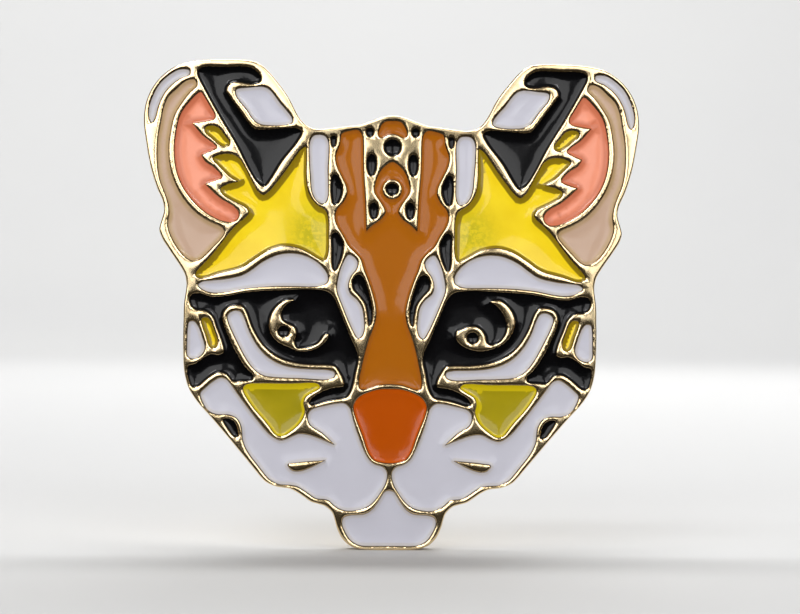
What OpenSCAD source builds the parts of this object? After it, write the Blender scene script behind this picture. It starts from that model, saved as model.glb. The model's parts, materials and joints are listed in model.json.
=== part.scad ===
// Enamel lapel pin: a spotted cat's face on a struck metal plate, with two posts and butterfly clutches.
// Millimetres. +X is to the right as seen from the front, the front faces -Y, and +Z is up. The origin is
// the middle of the plate's back face.

/* [Badge] */
// Overall width of the plate
pin_w = 38; // [32:1:60]
// Thickness of the plate, from its back to the tops of its raised lines
plate_t = 1.6; // [1.4:0.1:2.4]
// Depth of the enamel cells below the tops of the raised lines
cell_depth = 0.6; // [0.4:0.05:0.8]
// How far the enamel's surface lies below the tops of the raised lines
enamel_drop = 0.12; // [0.05:0.01:0.25]

/* [Posts] */
// Distance between the two posts
post_spacing = 19; // [17:0.5:22]
// Height of the posts above the middle of the plate
post_z = 2; // [-2:0.5:4]
// Diameter of a post
post_d = 1.1; // [1:0.05:1.2]
// Length of a post from the back of the plate to its point
post_len = 9; // [8.5:0.25:10]

/* [Clutches] */
// Outer diameter of a clutch's disc, over its rolled rim
disc_d = 11.4; // [10.5:0.1:12]
// Gap between the back of the plate and the disc
cloth_gap = 3.65; // [3.4:0.05:3.8]
// Thickness of the sheet metal
sheet_t = 0.3; // [0.26:0.02:0.32]
// Width of a finger wing at its outer end
wing_w = 5.2; // [4.4:0.1:5.6]
// Height of a finger wing above the disc's front face
wing_h = 6.2; // [5.6:0.1:6.6]

/* [Hidden] */
LEFT = -1;
RIGHT = 1;

// The outlines below are drawn for a pin of this width
drawn_w = 38;
k = pin_w / drawn_w;
// Largest turn between two neighbouring facets of an outline, in degrees
facet_turn = 11;

cell_floor = plate_t - cell_depth;
enamel_top = plate_t - enamel_drop;

// Post: its soldered foot, its two grip grooves and its point
post_r = post_d / 2;
foot_r = 1.5;
foot_t = 0.35;
groove_r = post_r - 0.17;
groove_w = 0.8;
tip_groove_w = 0.6;
end_stretch = 1;
point_len = 1;
point_r = 0.06;

// Clutch, with heights measured from the disc's front face
bore_r = post_r + 0.07;
rim_r = 0.42;
body_gap = 0.02;
housing_x = 5.3;
housing_z = 5.4;
housing_h = 2.7;
housing_corner = 0.8;
flange = 0.45;
neck_w = 3.4;
slot_play = 0.07;
jaw_y = 0.95;
pivot_x = 2.5;
pivot_y = 1.9;
jaw_gap = 0.1;
jaw_clearance = 0.05;
spring_wire_r = 0.15;
spring_y = 0.85;
spring_x = 1.95;
spring_z = 2.15;
spring_bend = 0.5;
groove_y = cloth_gap + jaw_y;

WHITE = [0.82, 0.82, 0.87];
TAN = [0.8, 0.69, 0.6];
CORAL = [0.94, 0.5, 0.39];
YELLOW = [0.93, 0.82, 0.2];
OLIVE = [0.66, 0.64, 0.08];
BROWN = [0.67, 0.37, 0.1];
ORANGE = [0.75, 0.32, 0.07];
BLACK = [0.05, 0.05, 0.06];
GOLD = [0.9, 0.8, 0.55];
STEEL = [0.78, 0.76, 0.7];

// Outlines. A point is [distance from the centre line, height], and a third number marks a sharp corner.
// A smooth curve runs through the points. A half outline runs from the centre line at the top or the left
// to the centre line again, and its mirror image closes it.
PLATE_HALF = [
    [0, 14.55], [0.75, 14.45], [1.6, 14.15], [2.65, 13.8], [3.75, 13.65], [4.9, 13.5],
    [5.9, 13.45], [6.6, 13.7], [7.2, 14.35], [7.95, 15.75], [8.9, 17.05], [9.75, 18], [10.5, 18.5],
    [11.55, 18.65], [12.95, 18.65], [14.35, 18.6], [15.55, 18.45], [16.6, 18.1], [17.65, 17.35],
    [18.45, 16.3], [18.9, 15.1], [19, 13.8], [18.8, 12.25], [18.4, 10.2], [17.95, 8.8],
    [17.5, 7.75], [17.4, 7.05], [17.6, 6.3], [17.75, 5.65], [17.55, 5], [17.05, 4.2], [16.3, 3.1],
    [15.8, 2.25], [15.65, 1.4], [15.8, 0.2], [15.85, -1.3], [15.85, -3.6], [15.75, -5.2],
    [15.45, -6.35], [14.85, -7.35], [13.7, -8.65], [12.45, -10.1], [11.15, -11.65], [10.15, -12.85],
    [9.5, -13.55], [8.6, -13.95], [7.6, -14.1], [6.85, -14.5], [5.95, -15.1], [4.95, -15.4],
    [4.35, -15.95], [4.05, -16.9], [3.65, -17.8], [2.95, -18.45], [2.1, -18.7], [1.05, -18.75],
    [0, -18.75]
];
EAR_RIM = [
    [15.6, 17.8], [16.3, 17.85], [17.05, 17.45], [17.8, 16.75], [18.3, 15.85], [18.6, 14.9],
    [18.6, 14.1], [18.4, 13.75], [18.15, 14.15], [17.95, 14.95], [17.6, 15.8], [17.05, 16.55],
    [16.25, 17.15], [15.6, 17.45]
];
EAR_BAND = [
    [15.2, 17.1], [15.8, 17], [16.55, 16.35], [17.15, 15.75], [17.5, 14.9], [17.7, 13.85],
    [17.9, 12.65], [17.95, 11.5], [17.9, 10.45], [17.7, 9.35], [17.35, 8.45], [17.1, 7.7],
    [17, 6.9], [17.1, 6.1], [16.95, 5.4], [16.6, 4.65], [16.05, 3.85], [15.45, 3.35], [15, 3.25],
    [14.55, 3.45], [13.8, 4.2], [13.05, 5], [12.8, 5.45], [12.95, 5.8], [13.65, 6.15],
    [14.5, 6.6], [15.35, 7.3], [16.15, 8.35], [16.75, 9.6], [17.05, 10.9], [17.1, 12.1],
    [16.95, 13.3], [16.7, 14.35], [16.25, 15.15], [15.55, 16.1], [15, 16.7]
];
EAR_INNER = [
    [14.7, 16.15], [14.4, 15.8], [13.95, 15.05], [13.6, 14.4], [13.7, 14.1], [14.35, 13.9],
    [15.3, 13.75, 1], [14.4, 12.75], [13.7, 12.25], [13.45, 11.95], [13.8, 11.7], [14.6, 11.35, 1],
    [14.3, 10.85], [13.75, 10.5], [13.2, 10], [13.05, 9.65], [13.55, 9.4], [14.3, 9.15, 1],
    [13.8, 8.65], [12.95, 7.95], [12.15, 7.5], [11.75, 7.05], [11.75, 6.6], [12.05, 6.3],
    [12.5, 6.25], [13.5, 6.55], [14.4, 7.1], [15.15, 7.8], [15.85, 8.7], [16.35, 9.75],
    [16.6, 10.9], [16.65, 12.1], [16.5, 13.3], [16.2, 14.45], [15.5, 15.45]
];
EAR_FLECK = [
    [14.3, 13.45], [13.85, 13.6], [13.35, 13.45], [12.9, 12.95], [12.45, 12.25], [12.75, 12],
    [13.2, 12.15], [13.85, 12.7], [14.3, 13.1]
];
EAR_STRIPE = [
    [14.95, 17.7], [14.55, 18.05], [12.85, 18.1], [11, 18.1], [10.4, 17.75], [10.1, 17.2],
    [10.3, 16.9], [10.85, 16.8], [11.95, 16.95], [12.55, 16.75], [12.75, 16.3], [12.5, 15.85],
    [11.65, 14.7], [10.95, 13.75], [10.5, 13.4], [8.85, 13.45], [7.2, 13.45], [6.95, 13.2],
    [7.15, 12.7], [8.5, 10.9], [9.35, 9.5], [9.8, 9], [10.3, 9.3], [11.15, 10.65], [11.75, 11.85],
    [13.4, 14.6], [14.35, 16.3]
];
EAR_WINDOW = [
    [12, 16.35], [11, 16.55], [9.9, 16.6], [9.4, 16.35], [8.65, 15.4], [7.75, 14.3], [7.7, 13.95],
    [8.1, 13.75], [10.05, 13.75], [10.6, 14.05], [11.2, 14.9], [11.95, 15.85]
];
FOREHEAD = [
    [13.7, 11.1], [13.3, 11.35], [12.45, 11.45], [11.75, 11.15], [10.9, 9.75], [10.3, 8.65],
    [9.85, 8.35], [9.45, 8.6], [8, 10.45], [7, 11.85], [6.65, 12.05], [6.6, 11.6], [6.6, 9.75],
    [6.4, 8.55], [5.8, 7.7], [5.1, 7.2], [4.9, 6.6], [4.85, 5.3], [4.9, 3.9], [5.15, 3.4],
    [5.6, 3.55], [6.75, 4.2], [8.05, 4.5], [9.3, 4.2], [10.45, 3.5], [11.4, 2.85], [13.25, 2.3],
    [14.5, 1.95], [14.95, 2.2], [13.75, 3.7], [11.95, 5.95], [10.95, 6.95], [11.1, 7.35],
    [12.05, 7.85], [12.95, 8.4], [13.1, 8.8], [12.65, 9.1], [11.75, 9.35, 1], [12.35, 9.7],
    [13.05, 10.35], [13.5, 10.8]
];
FOREHEAD_BAR = [
    [6.3, 12.55], [6, 12.95], [5.25, 12.95], [4.95, 12.55], [4.95, 10.4], [4.95, 8.2], [5.2, 7.75],
    [5.7, 7.9], [6.1, 8.55], [6.25, 9.75]
];
EDGE_TOP = [[4.7, 12.85], [4.4, 12.95], [4.3, 12.6], [4.45, 12.1], [4.65, 12.15]];
EDGE_MIDDLE = [
    [4.55, 9.95], [4.3, 10], [4, 9.5], [3.8, 8.85], [3.9, 8.25], [4.2, 7.75], [4.5, 7.7],
    [4.65, 8.15], [4.7, 9.25]
];
EDGE_LOW = [
    [4.55, 5.45], [4.2, 5.55], [3.9, 5.15], [3.7, 4.65], [3.75, 3.9], [4.05, 3], [4.35, 2.6],
    [4.55, 3], [4.6, 4.25]
];
STRIPES_HALF = [
    [0, 11], [0.6, 10.65], [1.05, 10.05], [1.3, 9.3], [1.35, 8.75], [1.05, 8.2], [0.65, 7.6],
    [0.5, 7.15], [0.85, 6.6], [1.4, 6.2], [1.95, 5.7, 1], [2.05, 7.95], [2.2, 9.95], [2.25, 11.6],
    [2.35, 13.05], [2.65, 13.4], [3.3, 13.35], [3.9, 13.1], [4.05, 12.3], [4.35, 11.4],
    [4.25, 10.7], [3.85, 9.8], [3.5, 9.05], [3.45, 8.55], [3.7, 7.95], [4.2, 7.35], [4.35, 6.75],
    [4.2, 6.15], [3.7, 5.3], [3.25, 4.5], [2.85, 4.1], [2.35, 3.55], [2.1, 2.8], [1.75, 1.9],
    [1.4, 0.85], [1.15, -0.25], [1.15, -0.95], [1.45, -1.9], [1.75, -2.85], [2, -3.8],
    [2.25, -4.95], [2.4, -5.9], [2.3, -6.4], [1.9, -6.45], [1, -6.15], [0, -6.05]
];
CROWN_HALF = [
    [0, 14.15], [0.65, 14.05], [1, 13.55], [1.1, 13.05], [0.85, 12.85], [0.4, 13.05], [0, 13.15]
];
NOSE_SIDE = [
    [3.3, 3.85], [2.9, 3.7], [2.6, 3.3], [2.7, 2.75], [3.1, 2.2], [3.3, 1.5], [3.15, 0.9],
    [2.6, 0.4], [2.25, -0.15], [2.1, -0.85], [2.05, -1.8], [2.25, -2.4], [2.5, -2.55],
    [2.8, -2.15], [3.3, -1.1], [3.85, 0.25], [4.15, 1.15], [4.05, 2.15], [3.75, 3.15]
];
NOSE_SIDE_DARK = [
    [2.9, 2.05], [2.6, 2.35], [2.25, 2.25], [1.8, 1.3], [1.5, 0.2], [1.4, -0.65], [1.5, -1.4],
    [1.7, -1.6], [1.8, -0.95], [2, 0.05], [2.5, 0.75], [2.95, 1.3]
];
BROW = [
    [14.75, 1.4], [14.5, 1.65], [13, 1.85], [11.4, 2.2], [10.65, 2.65], [9.75, 3.3], [8.6, 3.8],
    [7.45, 3.9], [6.4, 3.65], [5.45, 3.05], [4.9, 2.3], [4.9, 1.75], [5.4, 1.45], [7.15, 1.4],
    [9.5, 1.35], [11.35, 1.15], [12.65, 0.9], [13.65, 0.85], [14.35, 1.05]
];
EYE_PATCH = [
    [15.4, 0.35], [15.2, 0.7], [14.6, 0.8], [13.75, 0.55], [12.65, 0.6], [11.1, 0.9], [8.35, 1.1],
    [5.5, 1.15], [4.75, 0.95], [4.3, 0.45], [3.95, -0.35], [3.45, -1.55], [3, -2.65], [2.55, -3.65],
    [2.5, -4.35], [2.65, -5.05], [2.8, -5.9], [3.05, -6.65], [3.4, -7.1], [4.15, -7.25],
    [5.2, -7.5], [5.9, -7.7], [6.2, -7.55], [6, -7.15], [5.1, -6.6], [4.3, -6.35], [3.6, -6.2],
    [3.65, -5.65], [3.95, -5.1], [4.25, -4.7], [4.95, -4.6], [5.95, -4.6], [7.35, -4.45],
    [8.5, -4.1], [9.45, -3.45], [10.15, -2.6], [10.7, -1.55], [11.05, -0.6], [11.35, -0.2],
    [11.85, -0.1], [12.6, -0.35], [12.85, -0.85], [12.8, -1.45], [12.35, -2.65], [11.75, -3.8],
    [11.05, -4.85], [10.5, -5.45], [10.6, -5.8], [11.4, -5.9], [12.05, -5.9], [12.45, -5.45],
    [12.85, -5.25], [13.35, -5.3], [14.05, -5.75], [14.7, -6.3], [15.1, -6.35], [15.4, -5.9],
    [15.5, -5.2], [15.45, -4.75], [14.95, -4.6], [14.25, -4.1], [13.7, -3.85], [13.1, -3.9],
    [12.75, -3.65], [12.95, -2.7], [13.35, -1.7], [13.65, -0.95], [14.2, -0.55], [14.95, -0.45],
    [15.3, -0.1]
];
EYE_COMMA_LEFT = [
    [7.4, 0.35, 1], [7.95, 0.35], [8.5, 0.1], [8.95, -0.35], [9.25, -1], [9.3, -1.7], [9.1, -2.35],
    [8.6, -2.9], [7.85, -3.25], [7.05, -3.55], [6.35, -3.55], [5.7, -3.35], [5.15, -2.95],
    [4.8, -2.5], [4.75, -2.2, 1], [5.1, -2.3], [5.45, -2.8], [5.95, -3.15], [6.5, -3.3],
    [7.15, -3.35, 1], [7.35, -3], [7.35, -2.65], [7.25, -2.35], [7.25, -2], [7.4, -1.7],
    [7.7, -1.55], [8.05, -1.4], [8.35, -1.1], [8.4, -0.65], [8.3, -0.35], [8, 0]
];
EYE_COMMA_RIGHT = [
    [7.6, 0.35, 1], [8.15, 0.45], [8.65, 0.3], [9.1, -0.1], [9.4, -0.55], [9.55, -1.15],
    [9.45, -1.8], [9.15, -2.4], [8.7, -2.85], [8.15, -3.15], [7.4, -3.4], [6.7, -3.45],
    [5.9, -3.25], [5.3, -2.9], [5, -2.4], [5.05, -1.95, 1], [5.35, -1.85], [5.8, -1.65],
    [6.35, -1.55], [6.9, -1.75], [7.25, -2.25], [7.35, -2.7], [7.6, -2.95], [8.2, -2.85],
    [8.65, -2.4], [8.9, -1.85], [8.9, -1.3], [8.75, -0.8], [8.45, -0.3], [8.05, 0.1]
];
UNDER_EYE = [
    [12.5, -1], [12.35, -0.7], [11.9, -0.5], [11.5, -0.6], [11.25, -1], [10.8, -2.15],
    [10.2, -3.2], [9.45, -4], [8.5, -4.55], [7.35, -4.85], [5.95, -4.95], [4.75, -5],
    [4.3, -5.15], [4.3, -5.5], [4.8, -5.7], [6.5, -5.65], [8.25, -5.6], [9.65, -5.45],
    [10.35, -5.05], [11.05, -4.15], [11.75, -2.85], [12.3, -1.7]
];
TEMPLE = [
    [15.5, -1.75], [15.4, -1.4], [15.05, -1.35], [14.7, -1.75], [14.4, -2.55], [14.2, -3.35],
    [14.35, -3.8], [14.75, -4.15], [15.25, -4.2], [15.5, -4], [15.55, -3]
];
TEMPLE_BAR = [
    [14.45, -1.15], [14.05, -1.05], [13.75, -1.35], [13.5, -2], [13.25, -2.75], [13.3, -3.2],
    [13.6, -3.4], [13.85, -3.2], [14.1, -2.45], [14.4, -1.6]
];
CHEEK = [
    [11.25, -6.45], [11, -6.15], [9.8, -6.05], [7.65, -6.05], [5.6, -6.05], [5.4, -6.3],
    [5.95, -6.7], [6.5, -7.05], [6.65, -7.55], [6.55, -8.2], [6.85, -8.95], [7.5, -9.6],
    [8.2, -10.05], [8.65, -10], [9.35, -9.15], [10.55, -7.75]
];
MUZZLE = [
    [14.5, -6.85], [14.2, -6.5], [13.7, -6.05], [13, -5.65], [12.5, -5.8], [12.05, -6.35],
    [11.25, -7.45], [10.05, -9], [9.15, -10], [8.4, -10.4], [7.8, -10.25], [7, -9.9], [6.1, -10],
    [5.25, -10.3], [4.25, -10.7, 1], [4.8, -10.15], [5.35, -9.7], [6, -9.3], [6.25, -8.9],
    [6.25, -8.35], [5.95, -8], [5.1, -7.75], [4.15, -7.55], [3.5, -7.55], [3.1, -7.9],
    [2.8, -8.85], [2.15, -10.7], [1.6, -11.8], [1.1, -12.2], [0.5, -12.4], [0.2, -12.8],
    [0.25, -13.5], [0.7, -14.4], [1.45, -15.3], [2.15, -15.65], [3.35, -15.75], [4.1, -15.45],
    [4.7, -14.95], [5.65, -14.8], [6.35, -14.35], [7.1, -13.9], [7.8, -13.8], [8.45, -13.75],
    [9.15, -13.4], [9.85, -12.6], [10.45, -11.75], [11.05, -10.9], [11.25, -10.3], [11.35, -9.4],
    [11.7, -8.75], [12.35, -8.45], [13.1, -8.45], [13.75, -8.25], [14.2, -7.75]
];
WHISKER_BAR = [
    [7.8, -12.25], [7.15, -12.1], [6.2, -12], [4.95, -11.9, 1], [6, -12.45], [6.9, -12.75],
    [7.45, -12.7]
];
JAW_SPOT = [
    [12.75, -8.8], [12.35, -8.75], [11.9, -9], [11.65, -9.5], [11.6, -10.1], [11.85, -10.15],
    [12.35, -9.6]
];
NOSE_HALF = [
    [0, -6.4], [0.9, -6.45], [1.75, -6.7], [2.45, -7.1], [2.8, -7.7], [2.7, -8.4], [2.4, -9.2],
    [2.05, -10.1], [1.65, -11.25], [1.2, -11.85], [0.6, -12.05], [0, -12.1]
];
CHIN_HALF = [
    [0, -14.2], [0.35, -14.3], [0.75, -14.9], [1.3, -15.65], [1.9, -16], [3, -16.1], [3.5, -16.3],
    [3.6, -16.75], [3.3, -17.5], [2.9, -18.05], [2.25, -18.4], [1.05, -18.45], [0, -18.45]
];

// Round and oval spots: centre, half width and half height
EYE_DOT_LEFT = [[8.2, -2.05], 0.45, 0.45];
EYE_DOT_RIGHT = [[6.3, -2.45], 0.45, 0.45];
BROW_DOT = [[0, 12.1], 0.65, 0.65];
RING_OUTER = [[0, 8.9], 0.75, 0.75];
RING_DOT = [[0, 8.9], 0.48, 0.48];
CROWN_SPOT = [[1.75, 13.25], 0.3, 0.35];
UPPER_OVAL = [[1.6, 10.75], 0.38, 0.85];
LOWER_OVAL = [[1.4, 7.25], 0.35, 0.65];

// Height and reach of a finger wing, as points on the middle of its sheet from the jaw to the finger end
WING_JAW = [[jaw_gap, jaw_y, 1], [1.2, jaw_y, 1], [pivot_x - 0.3, pivot_y, 1], [pivot_x + 0.5, pivot_y]];
WING_FINGER = [
    [3.75, 2.4], [4.2, 3.4], [4.5, wing_h - 1.6], [4.85, wing_h - 0.6], [5.3, wing_h - sheet_t / 2]
];

// Smooth outlines

function flat(p) = [p[0], p[1]];
function is_corner(p) = len(p) == 3;
function turn(u, v) = abs(atan2(u[0] * v[1] - u[1] * v[0], u * v));
function knot_gap(p, q) = max(0.001, sqrt(norm(q - p)));
function between(p, q, tp, tq, t) = ((tq - t) * p + (t - tp) * q) / (tq - tp);

// The point a share s of the way from b to c, on the centripetal Catmull-Rom curve through a, b, c and d
function curve_point(a, b, c, d, s) =
    let (
        tb = knot_gap(a, b),
        tc = tb + knot_gap(b, c),
        td = tc + knot_gap(c, d),
        t = tb + (tc - tb) * s,
        ab = between(a, b, 0, tb, t),
        bc = between(b, c, tb, tc, t),
        cd = between(c, d, tc, td, t)
    )
    between(between(ab, bc, 0, tc, t), between(bc, cd, tb, td, t), tb, tc, t);

// The points from b up to but not including c, as many as the curve's turn needs
function curve_span(a, b, c, d) =
    let (steps = max(1, ceil((turn(b - a, c - b) + turn(c - b, d - c)) / 2 / facet_turn)))
    [for (s = [0 : steps - 1]) curve_point(a, b, c, d, s / steps)];

function span_from(before, from, to, after) =
    let (b = flat(from), c = flat(to))
    curve_span(is_corner(from) ? 2 * b - c : flat(before), b, c, is_corner(to) ? 2 * c - b : flat(after));

function smooth_loop(keys) =
    let (n = len(keys))
    [
        for (i = [0 : n - 1])
            each span_from(keys[(i + n - 1) % n], keys[i], keys[(i + 1) % n], keys[(i + 2) % n])
    ];

// Both ends of an open path count as corners
function smooth_path(keys) =
    let (
        last = len(keys) - 1,
        ends = [for (i = [0 : last]) (i == 0 || i == last) ? concat(flat(keys[i]), 1) : keys[i]]
    )
    [
        for (i = [0 : last - 1])
            each span_from(ends[max(0, i - 1)], ends[i], ends[i + 1], ends[min(last, i + 2)]),
        flat(keys[last])
    ];

function other_side(p) = is_corner(p) ? [-p[0], p[1], 1] : [-p[0], p[1]];
function both_halves(half) = concat(half, [for (i = [len(half) - 2 : -1 : 1]) other_side(half[i])]);

// The outline of a sheet of thickness t that follows an open path
function path_normal(path, i) =
    let (
        n = len(path),
        before = path[max(i, 1)] - path[max(i, 1) - 1],
        after = path[min(i + 1, n - 1)] - path[min(i + 1, n - 1) - 1],
        along = before / norm(before) + after / norm(after)
    )
    [-along[1], along[0]] * 2 / (along * along);
function sheet_outline(path, t) = concat(
    [for (i = [0 : len(path) - 1]) path[i] + path_normal(path, i) * t / 2],
    [for (i = [len(path) - 1 : -1 : 0]) path[i] - path_normal(path, i) * t / 2]
);

// Flat shapes

module loop(keys, side = RIGHT) {
    polygon([for (p = smooth_loop(keys)) k * [side * p[0], p[1]]]);
}

module spot(s, side = RIGHT) {
    translate(k * [side * s[0][0], s[0][1]])
        polygon([for (a = [0 : 15 : 345]) k * [s[1] * cos(a), s[2] * sin(a)]]);
}

module eye_comma(side) {
    if (side == LEFT) loop(EYE_COMMA_LEFT, LEFT);
    else loop(EYE_COMMA_RIGHT, RIGHT);
}

module eye_dot(side) {
    if (side == LEFT) spot(EYE_DOT_LEFT, LEFT);
    else spot(EYE_DOT_RIGHT, RIGHT);
}

module eye_patch(side) {
    difference() {
        loop(EYE_PATCH, side);
        eye_comma(side);
    }
}

module muzzle(side) {
    difference() {
        loop(MUZZLE, side);
        loop(WHISKER_BAR, side);
    }
}

module forehead_edges(side) {
    loop(EDGE_TOP, side);
    loop(EDGE_MIDDLE, side);
    loop(EDGE_LOW, side);
}

module forehead_stripes() {
    difference() {
        loop(both_halves(STRIPES_HALF));
        spot(RING_OUTER);
    }
}

module crown_spots() {
    spot(BROW_DOT);
    spot(RING_DOT);
    for (side = [LEFT, RIGHT]) {
        spot(CROWN_SPOT, side);
        spot(UPPER_OVAL, side);
        spot(LOWER_OVAL, side);
    }
}

module side_cells(side) {
    for (keys = [
        EAR_RIM, EAR_BAND, EAR_INNER, EAR_FLECK, EAR_STRIPE, EAR_WINDOW, FOREHEAD, FOREHEAD_BAR, BROW,
        UNDER_EYE, TEMPLE, TEMPLE_BAR, CHEEK, JAW_SPOT, NOSE_SIDE, NOSE_SIDE_DARK
    ])
        loop(keys, side);
    forehead_edges(side);
    eye_patch(side);
    eye_dot(side);
    muzzle(side);
}

module centre_cells() {
    forehead_stripes();
    crown_spots();
    loop(both_halves(CROWN_HALF));
    loop(both_halves(NOSE_HALF));
    loop(both_halves(CHIN_HALF));
}

// Solids

// A flat shape of X and Z as a solid from depth y_from to y_to in front of the plate's back
module struck(y_from, y_to) {
    translate([0, -y_from, 0])
        rotate([90, 0, 0])
            linear_extrude(height = y_to - y_from)
                children();
}

module pool(enamel_colour) {
    color(enamel_colour)
        struck(cell_floor, enamel_top)
            children();
}

// Turns a shape that stands along Z so that it stands along +Y, behind the plate
module behind() {
    rotate([-90, 0, 0])
        children();
}

module badge_plate() {
    color(GOLD) {
        struck(0, cell_floor)
            loop(both_halves(PLATE_HALF));
        struck(cell_floor, plate_t)
            difference() {
                loop(both_halves(PLATE_HALF));
                side_cells(LEFT);
                side_cells(RIGHT);
                centre_cells();
            }
    }
}

module ear_rim_white(side) {
    pool(WHITE)
        loop(EAR_RIM, side);
}

module ear_band_tan(side) {
    pool(TAN)
        loop(EAR_BAND, side);
}

module ear_inner_coral(side) {
    pool(CORAL)
        loop(EAR_INNER, side);
}

module ear_fleck_yellow(side) {
    pool(YELLOW)
        loop(EAR_FLECK, side);
}

module ear_stripe_black(side) {
    pool(BLACK)
        loop(EAR_STRIPE, side);
}

module ear_window_white(side) {
    pool(WHITE)
        loop(EAR_WINDOW, side);
}

module forehead_yellow(side) {
    pool(YELLOW)
        loop(FOREHEAD, side);
}

module forehead_bar_white(side) {
    pool(WHITE)
        loop(FOREHEAD_BAR, side);
}

module forehead_edge_black(side) {
    pool(BLACK)
        forehead_edges(side);
}

module forehead_stripes_brown() {
    pool(BROWN)
        forehead_stripes();
}

module forehead_crown_brown() {
    pool(BROWN)
        loop(both_halves(CROWN_HALF));
}

module crown_spots_black() {
    pool(BLACK)
        crown_spots();
}

module brow_white(side) {
    pool(WHITE)
        loop(BROW, side);
}

module eye_patch_black(side) {
    pool(BLACK)
        eye_patch(side);
}

module eye_dot_black(side) {
    pool(BLACK)
        eye_dot(side);
}

module under_eye_white(side) {
    pool(WHITE)
        loop(UNDER_EYE, side);
}

module temple_white(side) {
    pool(WHITE)
        loop(TEMPLE, side);
}

module temple_bar_yellow(side) {
    pool(YELLOW)
        loop(TEMPLE_BAR, side);
}

module cheek_yellow(side) {
    pool(OLIVE)
        loop(CHEEK, side);
}

module muzzle_white(side) {
    pool(WHITE)
        muzzle(side);
}

module jaw_spot_black(side) {
    pool(BLACK)
        loop(JAW_SPOT, side);
}

module nose_side_white(side) {
    pool(WHITE)
        loop(NOSE_SIDE, side);
}

module nose_side_black(side) {
    pool(BLACK)
        loop(NOSE_SIDE_DARK, side);
}

module nose_orange() {
    pool(ORANGE)
        loop(both_halves(NOSE_HALF));
}

module chin_white() {
    pool(WHITE)
        loop(both_halves(CHIN_HALF));
}

module at_post(side) {
    translate([side * post_spacing / 2, 0, post_z])
        children();
}

// The post's half section: foot, shank with its grip groove, short tip groove, end stretch and point
module post(side) {
    groove_from = groove_y - groove_w / 2;
    groove_to = groove_y + groove_w / 2;
    stretch_to = post_len - point_len;
    stretch_from = stretch_to - end_stretch;
    tip_groove_from = stretch_from - tip_groove_w;
    color(STEEL)
        at_post(side)
            behind()
                rotate_extrude($fn = 48)
                    polygon([
                        [0, 0], [foot_r, 0], [foot_r, foot_t * 0.6], [foot_r - 0.25, foot_t],
                        [post_r + 0.2, foot_t], [post_r, foot_t + 0.2],
                        [post_r, groove_from], [groove_r, groove_from + 0.1],
                        [groove_r, groove_to - 0.1], [post_r, groove_to],
                        [post_r, tip_groove_from], [groove_r, tip_groove_from + 0.1],
                        [groove_r, stretch_from - 0.1], [post_r, stretch_from],
                        [post_r, stretch_to], [point_r, post_len], [0, post_len]
                    ]);
}

// Everything of a clutch is drawn about the post's axis, from the disc's front face
module at_clutch(side) {
    color(GOLD)
        at_post(side)
            translate([0, cloth_gap, 0])
                children();
}

module clutch_disc(side) {
    rim_ring_r = disc_d / 2 - rim_r;
    at_clutch(side)
        behind() {
            difference() {
                cylinder(h = sheet_t, r = rim_ring_r, $fn = 96);
                translate([0, 0, -1])
                    cylinder(h = 3, r = bore_r, $fn = 48);
            }
            rotate_extrude($fn = 96)
                translate([rim_ring_r, rim_r])
                    circle(r = rim_r, $fn = 24);
        }
}

module rounded_slab(w, d, corner, h) {
    linear_extrude(height = h) {
        square([w - 2 * corner, d], center = true);
        square([w, d - 2 * corner], center = true);
        for (x = [-1, 1], z = [-1, 1])
            translate([x * (w / 2 - corner), z * (d / 2 - corner)])
                circle(r = corner, $fn = 32);
    }
}

module clutch_housing(side) {
    seat = sheet_t + body_gap;
    slot_h = sheet_t + 2 * slot_play;
    at_clutch(side)
        difference() {
            behind() {
                translate([0, 0, seat])
                    rounded_slab(housing_x, housing_z, housing_corner, housing_h - seat);
                translate([0, 0, seat])
                    rounded_slab(
                        housing_x + 2 * flange, housing_z + 2 * flange, housing_corner + flange,
                        sheet_t * 0.8
                    );
            }
            behind()
                translate([0, 0, seat - 1])
                    rounded_slab(
                        housing_x - 2 * sheet_t, housing_z - 2 * sheet_t, housing_corner - sheet_t,
                        housing_h - sheet_t - seat + 1
                    );
            behind()
                cylinder(h = housing_h + 1, r = bore_r, $fn = 48);
            translate([-housing_x, pivot_y - slot_h / 2, -neck_w / 2 - slot_play])
                cube([2 * housing_x, slot_h, neck_w + 2 * slot_play]);
        }
}

module clutch_spring(side) {
    leg = spring_z - spring_bend;
    color(STEEL)
        at_post(side)
            translate([0, cloth_gap + spring_y, 0]) {
                for (x = [-1, 1])
                    translate([x * spring_x, 0, -leg])
                        cylinder(h = 2 * leg, r = spring_wire_r, $fn = 24);
                translate([-spring_x + spring_bend, 0, spring_z])
                    rotate([0, 90, 0])
                        cylinder(h = 2 * (spring_x - spring_bend), r = spring_wire_r, $fn = 24);
                for (x = [-1, 1])
                    translate([x * (spring_x - spring_bend), 0, leg])
                        rotate([90, 0, 0])
                            rotate([0, 0, x > 0 ? 0 : 90])
                                rotate_extrude(angle = 90, $fn = 48)
                                    translate([spring_bend, 0])
                                        circle(r = spring_wire_r, $fn = 24);
            }
}

// The wing's outline seen along X: a neck that passes the housing's slot, and a wider rounded finger end
module wing_face() {
    corner = 1.2;
    shoulder = pivot_y + 0.75;
    translate([0, -neck_w / 2])
        square([shoulder + corner, neck_w]);
    translate([shoulder, -wing_w / 2 + corner])
        square([wing_h - shoulder, wing_w - 2 * corner]);
    translate([shoulder + corner, -wing_w / 2])
        square([wing_h - shoulder - 2 * corner, wing_w]);
    for (y = [shoulder + corner, wing_h - corner], z = [-1, 1])
        translate([y, z * (wing_w / 2 - corner)])
            circle(r = corner, $fn = 32);
}

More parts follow.
